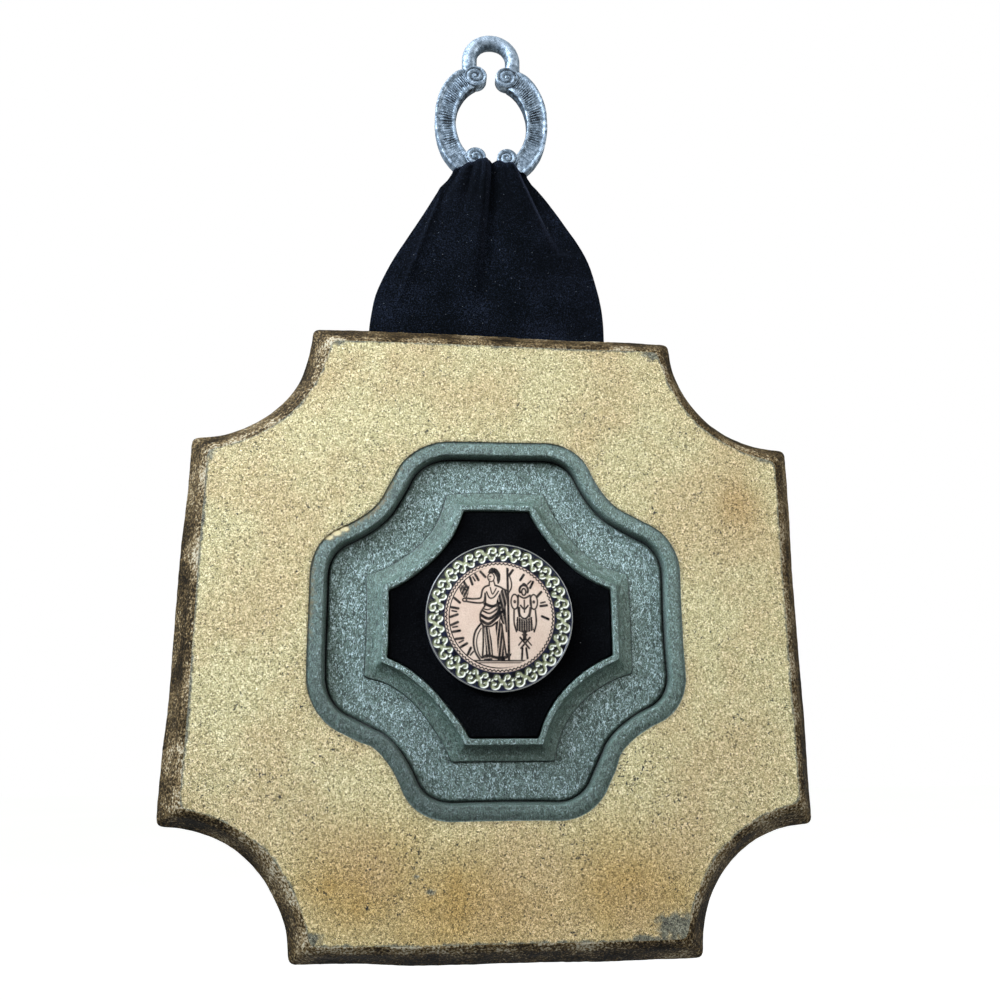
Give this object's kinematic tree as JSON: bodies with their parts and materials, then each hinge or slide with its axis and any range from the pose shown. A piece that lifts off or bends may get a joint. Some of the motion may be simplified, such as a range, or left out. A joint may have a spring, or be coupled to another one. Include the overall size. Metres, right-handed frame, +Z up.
{
  "type": "medallion wall plaque",
  "caption": "Square gilded wall plaque with scooped corners, green quatrefoil surround and printed medallion on velvet, hung from a velvet ribbon and cast scroll ring.",
  "frame": {"origin": "inner top of the hanging loop, halfway through the ring's depth", "axes": "+Z up the wall, -Y out of the wall towards the viewer, +X to the viewer's right"},
  "size_m": [0.24, 0.0182, 0.3818],
  "materials": {
    "cast_pewter": "cast pewter with a dull silver finish, dark in its recesses",
    "ribbon_velvet": "blue-black velvet pile with lint",
    "gilded_composition": "pebbled moulded composition with worn gilding, brown edge and grey-green painted surround",
    "panel_velvet": "black velvet",
    "glossy_print": "glossy domed face with a two-tone print"
  },
  "bodies": {
    "root": {"hanger_ring": "cast_pewter", "velvet_ribbon": "ribbon_velvet", "plaque_board": "gilded_composition", "velvet_panel": "panel_velvet", "medallion": "glossy_print"}
  },
  "joints": []
}
